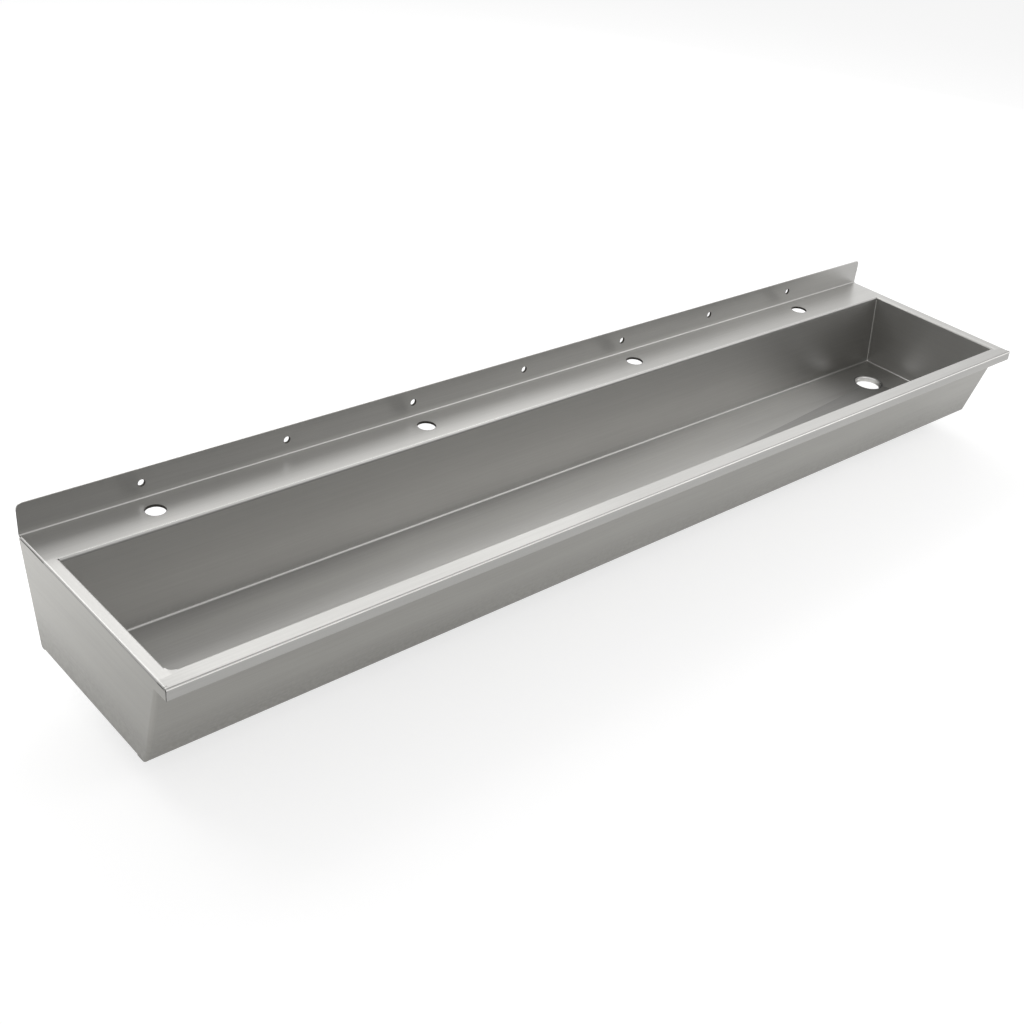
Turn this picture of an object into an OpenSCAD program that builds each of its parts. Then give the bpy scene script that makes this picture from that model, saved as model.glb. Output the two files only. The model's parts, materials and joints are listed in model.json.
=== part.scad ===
// Wall-hung wash trough in brushed stainless sheet, with a tap ledge, an upstand and a skirt.
// X runs along the trough, +Y points at the wall, +Z is up, all in millimetres.
// The origin is the middle fixing hole, on the wall plane.
// The trough body is one folded sheet closed by a welded wall at each end.
// A separate folded skirt hides the bowl from the front and the sides.

/* [Overall size] */
// Length from end to end
trough_length = 2320; // [2200:10:2600]
// Depth from the wall plane to the front edge
trough_depth = 500; // [460:5:560]
// Height of the space under the bowl, from the floor down to the underside
under_height = 28; // [20:1:60]
// Height of the upstand above the ledge
upstand_height = 62; // [56:1:90]

/* [Deck and bowl] */
// Width of the tap ledge, from the upstand face to the bowl opening
ledge_width = 100; // [90:1:120]
// Width of the front rim
front_rim = 35; // [32:1:50]
// Width of the left end rim
left_rim = 24; // [22:1:50]
// Width of the right end rim
right_rim = 30; // [24:1:60]
// Depth of the bowl below the deck
bowl_depth = 180; // [150:2:210]
// How far the back wall of the bowl comes forward at the floor
back_rake = 16; // [8:1:24]
// How far the front wall of the bowl goes back at the floor
front_rake = 52; // [50:1:70]
// Fall of the floor from its edges to the waste
floor_fall = 3; // [1:0.5:5]
// Height of the folded front edge
nosing_height = 24; // [20:1:30]
// Radius of the rounded corner of the opening, at the front on the left
opening_corner_r = 12; // [6:1:16]
// Radius of the two top corners of the upstand
upstand_corner_r = 11; // [4:1:20]

/* [Skirt] */
// How far the top of the skirt stands back from the front edge
skirt_top_setback = 32; // [30:1:36]
// How far the bottom of the skirt stands back from the front edge
skirt_foot_setback = 82; // [74:1:88]
// How far the end panels come off the wall at the bottom
skirt_back_lean = 48; // [20:1:60]
// Outer radius of the upright corner folds of the skirt
skirt_corner_r = 7.5; // [6:0.5:10]
// Outer radius of the fold along the bottom of the skirt
skirt_foot_r = 18; // [10:1:20]
// Radius of the bottom back corners of the end panels
skirt_back_r = 6; // [4:1:12]
// Width of the return along the bottom of the skirt front
skirt_return = 25; // [20:1:30]

/* [Taps and fixings] */
// Number of tap stations
tap_count = 4; // [3:1:4]
// Distance between tap holes
tap_pitch = 600; // [500:10:650]
// Distance from the left end to the first tap and the first fixing
first_station = 225; // [180:5:260]
// Distance from the wall plane to the tap holes
tap_setback = 52; // [46:1:58]
// Bore of the tap holes
tap_bore = 38; // [28:1:38]
// Height of the fixing holes above the ledge
fixing_rise = 32; // [28:1:38]
// Bore of the fixing holes
fixing_bore = 14; // [8:1:16]
// Width of the fixing bar
bar_width = 40; // [36:1:52]
// How far the fixing bar runs past the outer fixings
bar_overrun = 60; // [30:5:100]

/* [Waste] */
// Distance from the right inner end wall to the waste
waste_from_end = 105; // [80:5:200]
// Distance from the wall plane to the waste
waste_from_wall = 206; // [190:2:240]
// Clear bore of the waste outlet
waste_bore = 60; // [45:1:61]
// Diameter of the dish pressed round the waste outlet
waste_dish = 76; // [75:1:84]
// Depth of the dish below the floor
waste_drop = 9; // [7:1:10]

/* [Sheet] */
// Thickness of the trough body and the inner end walls
body_sheet = 2; // [1.5:0.1:2]
// Thickness of the skirt
skirt_sheet = 1.5; // [1.2:0.1:1.5]
// Thickness of the ledge channel and the fixing bar
backing_sheet = 3; // [2:0.5:3]

/* [Hidden] */
$fn = 48;
// Length that every cutter has to spare
cut = 30;

// Places along X, with the origin on the middle fixing hole
fixing_count = 2 * tap_count - 1;
fixing_pitch = tap_pitch / 2;
left_x = -first_station - (fixing_count - 1) / 2 * fixing_pitch;
right_x = left_x + trough_length;
bowl_left_x = left_x + left_rim;
bowl_right_x = right_x - right_rim;
bowl_length = bowl_right_x - bowl_left_x;
waste_x = bowl_right_x - waste_from_end;

// Places along Y, measured from the wall plane towards the front
bt = body_sheet;
upstand_back = backing_sheet;
upstand_face = upstand_back + bt;
opening_back = upstand_face + ledge_width;
opening_front = trough_depth - front_rim;
skirt_top = trough_depth - skirt_top_setback;
skirt_foot = trough_depth - skirt_foot_setback;
// The deck is welded this far outside the edges of the opening
seam_inset = 8;
// The nosing return and the end tabs of the skirt reach this far behind the skirt top
nosing_return = 2;
tab_reach = 12;

// Places along Z, with the deck top below the fixing holes
deck_z = -fixing_rise;
body_height = bowl_depth + under_height;

// Centre-line radii of the folds in the trough body
fold_r = 2 + bt / 2;
lip_r = 1 + bt / 2;
upstand_r = 3 + bt / 2;
foot_fold_r = 4 + bt / 2;
// How far a slanted fold runs into its flats, and what it loses on each side
fold_entry = 0.1;
fold_thinning = 0.02;
// Height of the small folded lip along both ends of the deck, and the notch it closes
lip_height = 5;
lip_notch = 6;
lip_clear = 4;
// Relief hole between that lip and the nosing
relief = 2;
// Gap between that lip and the skirt
panel_gap = 0.3;

// Centre lines of the two long bowl walls, as Y at a height z below the deck top
back_tan = back_rake / bowl_depth;
front_tan = front_rake / bowl_depth;
function back_mid(z) = -opening_back + bt / 2 * sqrt(1 + back_tan * back_tan) + z * back_tan;
function front_mid(z) = -opening_front - bt / 2 * sqrt(1 + front_tan * front_tan) - z * front_tan;

// Slope of the skirt front
skirt_tan = (skirt_top - skirt_foot) / (body_height - nosing_height);
skirt_angle = atan(skirt_tan);
function skirt_face(z) = -skirt_top + (-nosing_height - z) * skirt_tan;

// The ledge channel keeps clear of the back fold, of the bowl wall and of the end walls
channel_back_gap = 6;
channel_front_gap = 9;
channel_back = upstand_face + channel_back_gap;
channel_front = opening_back - channel_front_gap;
channel_leg = 15;
channel_end = 10;

// The braces stand between the bowl floor and the skirt return, inside its fold and the back wall
brace_front_gap = 3;
brace_back_gap = 9;
brace_width = 30;
brace_sheet = 2;
brace_foot = -body_height + skirt_sheet;
brace_front = skirt_foot - skirt_foot_r - brace_front_gap;
brace_back = opening_back + back_rake + brace_back_gap;
brace_pitch = trough_length * 0.32;
brace_gap = 0.1;

// The four facets of the floor start this far inside its edges
fall_margin = 12;
fall_left = left_rim + fall_margin;
fall_right = trough_length - right_rim - fall_margin;
fall_back = -opening_back - back_rake - fall_margin;
fall_front = -opening_front + front_rake + fall_margin;
fall_x = waste_x - left_x;
fall_y = -waste_from_wall;

// Flat lands of the waste outlet, at the floor and round the bore
outlet_rim = 3.2;
outlet_land = 3.3;
// Returns along the bottom of the skirt ends
end_return = 18;
end_return_h = 4;

// Helpers for folded sheet

// Direction from a to b
function way(a, b) = (b - a) / norm(b - a);

// Turn at point i of a path, in degrees, positive to the left
function turn(p, i) = let(u = way(p[i - 1], p[i]), v = way(p[i], p[i + 1]))
  atan2(u[0] * v[1] - u[1] * v[0], u[0] * v[0] + u[1] * v[1]);

// Length of path that the fold at point i takes up on each side
function take(p, i, r) = i <= 0 || i >= len(p) - 1 ? 0 : r[i - 1] * tan(abs(turn(p, i)) / 2);

// One flat of a folded sheet, between the folds at points i and i + 1
module flat(p, i, r, t) {
  u = way(p[i], p[i + 1]);
  n = [-u[1], u[0]] * t / 2;
  a = p[i] + u * take(p, i, r);
  b = p[i + 1] - u * take(p, i + 1, r);
  polygon([a - n, b - n, b + n, a + n]);
}

// One fold of a folded sheet, a true arc with centre-line radius r[i - 1].
// A fold that isn't square is a hair thinner, as bent sheet is, and runs into the flats.
module fold(p, i, r, t) {
  u = way(p[i - 1], p[i]);
  v = way(p[i], p[i + 1]);
  s = sign(turn(p, i));
  k = take(p, i, r);
  rr = r[i - 1];
  a = p[i] - u * k;
  b = p[i] + v * k;
  c = a + [-u[1], u[0]] * s * rr;
  square = abs(turn(p, i)) == 90;
  e = square ? 0 : fold_entry;
  half = square ? t / 2 : t / 2 - fold_thinning;
  intersection() {
    difference() {
      translate(c) circle(r = rr + half);
      translate(c) circle(r = rr - half);
    }
    polygon([c, c + (a - u * e - c) * 3, c + (p[i] - c) * 3, c + (b + v * e - c) * 3]);
  }
}

// Section of a folded sheet: p is the centre line, r the radii at its inner points
module section(p, r, t) {
  for (i = [0 : len(p) - 2]) flat(p, i, r, t);
  for (i = [1 : len(p) - 2]) fold(p, i, r, t);
}

// Stand a (Y, Z) drawing up and run it along X from x0 to x1
module along_x(x0, x1) {
  translate([x0, 0, 0]) rotate([90, 0, 90]) linear_extrude(height = x1 - x0) children();
}

// Stand an (X, Z) drawing up and run it along Y from y0 to y1, where y0 is nearer the front
module along_y(y0, y1) {
  translate([0, y1, 0]) rotate([90, 0, 0]) linear_extrude(height = y1 - y0) children();
}

// Box between two corners
module box(a, b) {
  translate(a) cube(b - a);
}

// Small folded lip that finishes an end of the deck, at the left end of the drawing
module deck_lip(y0, y1) {
  along_y(y0, y1) section([[bt / 2, -lip_height], [bt / 2, -bt / 2], [lip_notch, -bt / 2]], [lip_r], bt);
}

// Put a left-hand piece at the left end of the trough, or mirror it onto the right end
module at_end(right) {
  if (right) translate([right_x, 0, deck_z]) mirror([1, 0, 0]) children();
  else translate([left_x, 0, deck_z]) children();
}

// Tap holes, drilled straight down through the ledge
module tap_holes() {
  for (i = [0 : tap_count - 1])
    translate([left_x + first_station + i * tap_pitch, -tap_setback, deck_z - cut])
      cylinder(h = 2 * cut, d = tap_bore);
}

// Fixing holes, drilled through the upstand at the height of the origin
module fixing_holes() {
  for (i = [0 : fixing_count - 1])
    translate([left_x + first_station + i * fixing_pitch, cut, 0])
      rotate([90, 0, 0]) cylinder(h = 2 * cut, d = fixing_bore);
}

// Upstand and tap ledge, with the top corners of the upstand rounded
module deck_back() {
  difference() {
    along_x(0, trough_length)
      section([[-upstand_back - bt / 2, upstand_height], [-upstand_back - bt / 2, -bt / 2],
               [-opening_back + seam_inset, -bt / 2]], [upstand_r], bt);
    for (m = [0, 1]) translate([m * trough_length, 0, 0]) mirror([m, 0, 0]) {
      upstand_corner();
      box([-1, -opening_back + seam_inset - 1, -bt - 1], [lip_notch, -upstand_face - lip_clear, 1]);
    }
  }
  for (m = [0, 1]) translate([m * trough_length, 0, 0]) mirror([m, 0, 0])
    deck_lip(-opening_back + seam_inset, -upstand_face - lip_clear);
}

// Square piece with a round bite, cut away from a top corner of the upstand
module upstand_corner() {
  r = upstand_corner_r;
  translate([0, 0, upstand_height]) difference() {
    box([-1, -upstand_face - 1, -r], [r, 1, 1]);
    translate([r, cut, -r]) rotate([90, 0, 0]) cylinder(h = 2 * cut, r = r);
  }
}

// Front rim and nosing, with its return closing the underside as far as the skirt
module deck_front() {
  y_seam = -opening_front - seam_inset;
  y_front = -trough_depth + bt / 2;
  difference() {
    along_x(0, trough_length)
      section([[y_seam, -bt / 2], [y_front, -bt / 2], [y_front, -nosing_height + bt / 2],
               [-skirt_top + nosing_return, -nosing_height + bt / 2]], [lip_r, lip_r], bt);
    for (m = [0, 1]) translate([m * trough_length, 0, 0]) mirror([m, 0, 0]) {
      box([-1, -trough_depth + lip_notch, -bt - 1], [lip_notch, y_seam + 1, 1]);
      box([-1, -trough_depth + bt, -nosing_height - 1],
          [skirt_sheet + panel_gap, -skirt_top + tab_reach, -bt - 1]);
    }
  }
  for (m = [0, 1]) translate([m * trough_length, 0, 0]) mirror([m, 0, 0])
    deck_lip(-trough_depth + lip_notch + relief, y_seam);
}

// Back wall, floor and front wall of the bowl
module bowl() {
  difference() {
    along_x(left_rim, trough_length - right_rim)
      section([[-opening_back + seam_inset, -bt / 2], [back_mid(-bt / 2), -bt / 2],
               [back_mid(-bowl_depth - bt / 2), -bowl_depth - bt / 2],
               [front_mid(-bowl_depth - bt / 2), -bowl_depth - bt / 2],
               [front_mid(-bt / 2), -bt / 2], [-opening_front - seam_inset, -bt / 2]],
              [fold_r, foot_fold_r, foot_fold_r, fold_r], bt);
    box([fall_left, fall_front, -bowl_depth - cut], [fall_right, fall_back, -bowl_depth + 1]);
  }
  translate([0, 0, -bowl_depth]) falling_floor();
}

// All that lies under the four facets that fall to the waste, down to a depth of cut
module under_facets() {
  spare = 2 * cut;
  length = fall_right - fall_left + spare;
  width = fall_back - fall_front + spare;
  translate([fall_left - cut, fall_back, 0]) rotate([atan(floor_fall / (fall_back - fall_y)), 0, 0])
    box([0, -width, -cut], [length, cut, 0]);
  translate([fall_left - cut, fall_front, 0]) rotate([-atan(floor_fall / (fall_y - fall_front)), 0, 0])
    box([0, -cut, -cut], [length, width, 0]);
  translate([fall_left, fall_front - cut, 0]) rotate([0, atan(floor_fall / (fall_x - fall_left)), 0])
    box([-cut, 0, -cut], [length, width, 0]);
  translate([fall_right, fall_front - cut, 0]) rotate([0, -atan(floor_fall / (fall_right - fall_x)), 0])
    box([-length, 0, -cut], [cut, width, 0]);
}

// Middle of the floor, creased from its corners to the waste so that it drains
module falling_floor() {
  intersection() {
    box([fall_left, fall_front, -cut / 2], [fall_right, fall_back, 1]);
    difference() {
      under_facets();
      translate([0, 0, -bt]) under_facets();
    }
  }
}

// Web of sheet that rounds the left front corner of the opening
module corner_web() {
  r = opening_corner_r;
  translate([left_rim, -opening_front, -bt]) difference() {
    box([0, -seam_inset, 0], [r, r, bt]);
    translate([r, r, -cut / 2]) cylinder(h = cut, r = r);
  }
}

// Trough body: upstand, ledge, bowl, front rim and nosing folded from one sheet
module trough_body() {
  color([0.78, 0.78, 0.77]) difference() {
    translate([left_x, 0, deck_z]) {
      deck_back();
      bowl();
      corner_web();
      deck_front();
    }
    tap_holes();
    fixing_holes();
    translate([waste_x, -waste_from_wall, deck_z - bowl_depth - cut]) cylinder(h = 2 * cut, d = waste_dish);
  }
}

// Outline of the bowl walls seen from the end, out to their outer faces
module bowl_outline() {
  z0 = -bowl_depth - bt;
  back = bt / 2 * sqrt(1 + back_tan * back_tan);
  front = bt / 2 * sqrt(1 + front_tan * front_tan);
  polygon([[back_mid(0) + back, 0], [front_mid(0) - front, 0],
           [front_mid(z0) - front, z0], [back_mid(z0) + back, z0]]);
}

// Inner end wall of the bowl, with its rim and its lip.
// The rim stays flat over the fold for a length of corner at the front of the opening.
module bowl_end(rim, corner) {
  y_back = -opening_back + seam_inset;
  y_front = -opening_front - seam_inset;
  x_wall = rim - bt / 2;
  x_fold = x_wall - fold_r;
  intersection() {
    along_y(y_front, y_back)
      section([[bt / 2, -lip_height], [bt / 2, -bt / 2], [x_wall, -bt / 2],
               [x_wall, -bowl_depth - bt]], [lip_r, fold_r], bt);
    union() {
      along_x(x_fold, rim) bowl_outline();
      box([-1, y_front, -lip_height - 1], [x_fold, y_back, 1]);
    }
  }
  box([x_fold, back_mid(0) + bt / 2, -bt], [rim, y_back, 0]);
  box([x_fold, y_front, -bt], [rim, -opening_front + corner, 0]);
}

module left_bowl_end() {
  color([0.72, 0.72, 0.71]) at_end(false) bowl_end(left_rim, opening_corner_r);
}

module right_bowl_end() {
  color([0.72, 0.72, 0.71]) at_end(true) bowl_end(right_rim, 0);
}

// Side outline of a skirt end panel, with both bottom corners rounded
module panel_outline() {
  z_top = -lip_height - panel_gap;
  r = skirt_foot_r;
  q = skirt_back_r;
  b = [-skirt_back_lean, -body_height];
  f = [-skirt_foot, -body_height];
  bu = way(b, [-upstand_back, z_top]);
  fu = way(f, [-skirt_top, -nosing_height]);
  bk = q * tan((180 - acos(-bu[0])) / 2);
  fk = r * tan((180 - acos(fu[0])) / 2);
  polygon([[-upstand_back, z_top], b + bu * bk, b - [bk, 0], f + [fk, 0], f + fu * fk,
           [-skirt_top, -nosing_height], [-skirt_top + tab_reach, -nosing_height],
           [-skirt_top + tab_reach, z_top]]);
  translate(b + [-bk, q]) circle(r = q);
  translate(f + [fk, r]) circle(r = r);
}

// End panel and upright corner fold of the skirt, at the left end of the drawing
module skirt_end() {
  t = skirt_sheet;
  return_front = -skirt_foot + skirt_return + 3;
  return_back = -skirt_back_lean - skirt_back_r - 4;
  difference() {
    intersection() {
      translate([0, -skirt_top, -nosing_height]) rotate([skirt_angle, 0, 0])
        translate([0, 0, -1.7 * body_height])
          linear_extrude(height = 2 * body_height)
            section([[t / 2, 1.2 * trough_depth], [t / 2, t / 2], [skirt_corner_r + 2, t / 2]],
                    [skirt_corner_r - t / 2], t);
      along_x(-1, skirt_corner_r + 2) panel_outline();
    }
    box([-1, return_front, -body_height - 1], [t + 1, return_back, -body_height + end_return_h]);
  }
  box([0, -trough_depth + bt, -nosing_height], [t, -skirt_top + tab_reach, -lip_height - panel_gap]);
  along_y(return_front, return_back)
    section([[t / 2, -body_height + end_return_h], [t / 2, -body_height + t / 2],
             [end_return, -body_height + t / 2]], [1.5 + t / 2], t);
}

// Skirt front between the corner folds, with the return along its bottom edge
module skirt_front() {
  t = skirt_sheet;
  mid = t / 2 / cos(skirt_angle);
  z_start = -nosing_height - t / 2 * sin(skirt_angle);
  along_x(skirt_corner_r + 1, trough_length - skirt_corner_r - 1)
    section([[skirt_face(z_start) + mid, z_start],
             [skirt_face(-body_height + t / 2) + mid, -body_height + t / 2],
             [-skirt_foot + skirt_return, -body_height + t / 2]],
            [skirt_foot_r - t / 2], t);
}

// Skirt: both end panels and the front folded from one sheet
module skirt() {
  color([0.68, 0.68, 0.67]) {
    translate([left_x, 0, deck_z]) skirt_front();
    at_end(false) skirt_end();
    at_end(true) skirt_end();
  }
}

// Channel welded under the tap ledge, which carries the taps
module ledge_channel() {
  t = backing_sheet;
  y0 = -channel_back - t / 2;
  y1 = -channel_front + t / 2;
  z0 = -bt - t / 2;
  color([0.6, 0.6, 0.6]) difference() {
    translate([left_x, 0, deck_z]) along_x(left_rim + channel_end, trough_length - right_rim - channel_end)
      section([[y0, z0 - channel_leg], [y0, z0], [y1, z0], [y1, z0 - channel_leg]],
              [2 + t / 2, 2 + t / 2], t);
    tap_holes();
  }
}

// Flat bar welded behind the upstand, which takes the wall bolts
module fixing_bar() {
  span = (fixing_count - 1) * fixing_pitch;
  color([0.6, 0.6, 0.6]) difference() {
    box([-span / 2 - bar_overrun, -backing_sheet, -bar_width / 2],
        [span / 2 + bar_overrun, 0, bar_width / 2]);
    fixing_holes();
  }
}

// Pressed waste outlet welded into the floor
module waste_outlet() {
  t = body_sheet;
  r_out = waste_dish / 2;
  r_in = waste_bore / 2;
  color([0.82, 0.82, 0.81])
    translate([waste_x, -waste_from_wall, deck_z - bowl_depth - floor_fall - t / 2])
      rotate_extrude()
        section([[r_out, 0], [r_out - outlet_rim, 0], [r_in + outlet_land, -waste_drop],
                 [r_in, -waste_drop]], [1.5 + t / 2, 0.5 + t / 2], t);
}

// Channel brace across the underside, between the bowl floor and the skirt return.
// Its top meets the floor at the crease, which lies lower the nearer the waste is.
module brace(x) {
  t = brace_sheet;
  low = floor_fall * (x + brace_width / 2 - left_x - fall_left) / (fall_x - fall_left);
  brace_top = -bowl_depth - bt - low - brace_gap;
  color([0.58, 0.58, 0.58]) translate([x, 0, deck_z]) along_y(-brace_front, -brace_back)
    section([[brace_width / 2, brace_top - t / 2], [-brace_width / 2 + t / 2, brace_top - t / 2],
             [-brace_width / 2 + t / 2, brace_foot + t / 2], [brace_width / 2, brace_foot + t / 2]],
            [2 + t / 2, 2 + t / 2], t);
}

module brace_left() {
  brace(left_x + trough_length / 2 - brace_pitch);
}

module brace_middle() {
  brace(left_x + trough_length / 2);
}

module brace_right() {
  brace(left_x + trough_length / 2 + brace_pitch);
}

trough_body();
left_bowl_end();
right_bowl_end();
skirt();
ledge_channel();
fixing_bar();
waste_outlet();
brace_left();
brace_middle();
brace_right();
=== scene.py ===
# Wall-hung wash trough in brushed stainless sheet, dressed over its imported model.
# Everything is in metres in the frame of the model: +X runs along the trough, +Y points at the
# wall, +Z is up, and the origin is the middle fixing hole on the wall plane.
import math

import bpy
import numpy as np
from mathutils import Matrix, Vector
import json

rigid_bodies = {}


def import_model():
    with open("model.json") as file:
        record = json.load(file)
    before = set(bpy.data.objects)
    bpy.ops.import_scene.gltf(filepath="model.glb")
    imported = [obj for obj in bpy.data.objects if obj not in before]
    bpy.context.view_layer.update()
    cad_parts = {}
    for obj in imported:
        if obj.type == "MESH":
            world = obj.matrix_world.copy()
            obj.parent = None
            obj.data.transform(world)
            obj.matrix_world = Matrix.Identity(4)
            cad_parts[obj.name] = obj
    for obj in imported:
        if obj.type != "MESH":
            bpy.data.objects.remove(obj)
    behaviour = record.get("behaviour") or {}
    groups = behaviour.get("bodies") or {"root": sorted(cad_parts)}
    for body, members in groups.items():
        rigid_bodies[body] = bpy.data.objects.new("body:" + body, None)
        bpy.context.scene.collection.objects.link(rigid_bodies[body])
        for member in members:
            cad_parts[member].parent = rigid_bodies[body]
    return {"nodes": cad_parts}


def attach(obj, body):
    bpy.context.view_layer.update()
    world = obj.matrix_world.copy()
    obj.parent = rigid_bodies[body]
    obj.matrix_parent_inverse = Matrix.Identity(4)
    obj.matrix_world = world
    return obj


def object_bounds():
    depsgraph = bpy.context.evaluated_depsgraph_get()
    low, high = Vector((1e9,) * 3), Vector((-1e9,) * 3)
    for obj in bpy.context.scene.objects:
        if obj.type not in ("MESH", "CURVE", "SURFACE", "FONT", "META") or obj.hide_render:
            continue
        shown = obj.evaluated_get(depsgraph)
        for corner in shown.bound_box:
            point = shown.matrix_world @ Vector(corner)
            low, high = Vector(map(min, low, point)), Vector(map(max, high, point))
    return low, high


for leftover in list(bpy.data.objects):
    bpy.data.objects.remove(leftover)
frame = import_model()
nodes = frame["nodes"]
cad_low, cad_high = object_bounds()

# The camera stands high at the left front and looks down along the trough to its far right end.
# Its place, its three angles and its lens come from the long edges of the deck, bowl and skirt.
CAMERA_PLACE = (-1.8681, -1.9821, 1.3171)
CAMERA_YAW, CAMERA_PITCH, CAMERA_ROLL = 0.8115, 0.5523, 0.1286
CAMERA_LENS, CAMERA_SENSOR = 48.54, 36
CAMERA_SHIFT = (-0.0603, 0.0046)
CAMERA_REACH = (0.05, 60)

ahead = Vector((math.sin(CAMERA_YAW) * math.cos(CAMERA_PITCH),
                math.cos(CAMERA_YAW) * math.cos(CAMERA_PITCH), -math.sin(CAMERA_PITCH)))
level = Vector((math.cos(CAMERA_YAW), -math.sin(CAMERA_YAW), 0))
upright = level.cross(ahead)
side = level * math.cos(CAMERA_ROLL) + upright * math.sin(CAMERA_ROLL)
top = upright * math.cos(CAMERA_ROLL) - level * math.sin(CAMERA_ROLL)
camera_data = bpy.data.cameras.new("camera")
camera_data.lens = CAMERA_LENS
camera_data.sensor_width = CAMERA_SENSOR
camera_data.shift_x, camera_data.shift_y = CAMERA_SHIFT
camera_data.clip_start, camera_data.clip_end = CAMERA_REACH
camera = bpy.data.objects.new("camera", camera_data)
camera.matrix_world = Matrix((side, top, -ahead)).transposed().to_4x4()
camera.location = CAMERA_PLACE
bpy.context.scene.collection.objects.link(camera)
bpy.context.scene.camera = camera
bpy.context.scene.view_settings.view_transform = "Standard"

# The studio is a wide pale floor just under the trough, in a pale room.
# The floor is lifted to white where the lamps leave it a little grey, and keeps the shadow.
FLOOR_DROP = 0.06
FLOOR_REACH = 14.0
FLOOR_COLOUR = (0.52, 0.52, 0.52, 1)
FLOOR_DULLNESS = 0.9
FLOOR_LIFT = 0.65
ROOM_LEVEL = 0.5
ROOM_WHITE = 1.0


def wired(tree, kind, at, **values):
    """A new node of that kind, with its plain properties and its unlinked sockets set."""
    node = tree.nodes.new(kind)
    node.location = at
    for key, value in values.items():
        if hasattr(node, key):
            setattr(node, key, value)
        else:
            node.inputs[key.replace("_", " ")].default_value = value
    return node


def sum_of(tree, operation, at, *terms):
    """One Math node whose terms are sockets or plain numbers."""
    node = wired(tree, "ShaderNodeMath", at, operation=operation)
    for slot, term in enumerate(terms):
        if isinstance(term, (int, float)):
            node.inputs[slot].default_value = term
        else:
            tree.links.new(term, node.inputs[slot])
    return node.outputs[0]


def ramp(tree, at, value, low, high, start=0.0, end=1.0):
    """A value that goes evenly from start, where the given one is low, to end, where it is high."""
    node = wired(tree, "ShaderNodeMapRange", at,
                 From_Min=low, From_Max=high, To_Min=start, To_Max=end)
    tree.links.new(value, node.inputs["Value"])
    return node.outputs[0]


def seen_as_background(tree, at):
    """A mask that is 1 for rays that look at the background straight, in metal or through glass."""
    path = wired(tree, "ShaderNodeLightPath", at)
    eye_or_metal = sum_of(tree, "MAXIMUM", (at[0] + 200, at[1]),
                          path.outputs["Is Camera Ray"], path.outputs["Is Glossy Ray"])
    return sum_of(tree, "MAXIMUM", (at[0] + 400, at[1]),
                  eye_or_metal, path.outputs["Is Transmission Ray"])


floor_height = cad_low.z - FLOOR_DROP
floor_corners = [(across * FLOOR_REACH, along * FLOOR_REACH, floor_height)
                 for across, along in ((-1, -1), (1, -1), (1, 1), (-1, 1))]
floor_mesh = bpy.data.meshes.new("floor")
floor_mesh.from_pydata(floor_corners, [], [(0, 1, 2, 3)])
floor = bpy.data.objects.new("floor", floor_mesh)
bpy.context.scene.collection.objects.link(floor)
floor_paint = bpy.data.materials.new("floor_paint")
floor_paint.use_nodes = True
tree = floor_paint.node_tree
shader = tree.nodes["Principled BSDF"]
shader.inputs["Base Color"].default_value = FLOOR_COLOUR
shader.inputs["Roughness"].default_value = FLOOR_DULLNESS
shader.inputs["Specular IOR Level"].default_value = 0.0
lift = wired(tree, "ShaderNodeEmission", (0, -400), Color=(1, 1, 1, 1))
amount = sum_of(tree, "MULTIPLY", (-200, -400), seen_as_background(tree, (-900, -400)), FLOOR_LIFT)
tree.links.new(amount, lift.inputs["Strength"])
lifted = wired(tree, "ShaderNodeAddShader", (300, 0))
tree.links.new(shader.outputs[0], lifted.inputs[0])
tree.links.new(lift.outputs[0], lifted.inputs[1])
tree.links.new(lifted.outputs[0], tree.nodes["Material Output"].inputs["Surface"])
floor_mesh.materials.append(floor_paint)

world = bpy.data.worlds.new("room")
bpy.context.scene.world = world
world.use_nodes = True
tree = world.node_tree
background = tree.nodes["Background"]
background.inputs["Color"].default_value = (1, 1, 1, 1)
brightness = ramp(tree, (-200, 0), seen_as_background(tree, (-900, 0)), 0, 1,
                  ROOM_LEVEL, ROOM_WHITE)
tree.links.new(brightness, background.inputs["Strength"])

# Eight soft square lamps stand round the trough, all at one distance and turned to its middle.
# Each has its compass angle from +X, its height angle and its power in watts.
# One more hangs low beside the left end and lights the floor that the end panel mirrors.
LAMP_SIZE = 2.2
LAMP_DISTANCE = 4.5
LAMP_AIM = Vector((0.035, -0.25, -0.1))
LAMPS = {
    "lamp_back_left": (120, 40, 31.8),
    "lamp_back": (90, 40, 14.5),
    "lamp_back_right": (60, 40, 21.0),
    "lamp_right": (30, 40, 12.2),
    "lamp_right_low": (30, 14, 6.1),
    "lamp_front_right": (330, 40, 11.0),
    "lamp_front_right_low": (325, 20, 13.0),
    "lamp_front": (300, 40, 14.9),
}
FLOOR_LAMP_PLACE = Vector((-1.45, 0.45, -0.05))
FLOOR_LAMP_SIZE, FLOOR_LAMP_POWER = 0.8, 2.3


def soft_lamp(name, place, reach, size, power):
    """A soft lamp at a place, turned so that it shines against the direction reach."""
    lamp_data = bpy.data.lights.new(name, "AREA")
    lamp_data.shape = "SQUARE"
    lamp_data.size = size
    lamp_data.energy = power
    lamp = bpy.data.objects.new(name, lamp_data)
    lamp.location = place
    lamp.rotation_mode = "QUATERNION"
    lamp.rotation_quaternion = (-reach).to_track_quat("-Z", "Y")
    bpy.context.scene.collection.objects.link(lamp)


for name, (compass, height, power) in LAMPS.items():
    compass, height = math.radians(compass), math.radians(height)
    reach = Vector((math.cos(compass) * math.cos(height), math.sin(compass) * math.cos(height),
                    math.sin(height)))
    soft_lamp(name, LAMP_AIM + reach * LAMP_DISTANCE, reach, LAMP_SIZE, power)
soft_lamp("lamp_floor_left", FLOOR_LAMP_PLACE, Vector((0, 0, 1)), FLOOR_LAMP_SIZE, FLOOR_LAMP_POWER)

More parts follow.
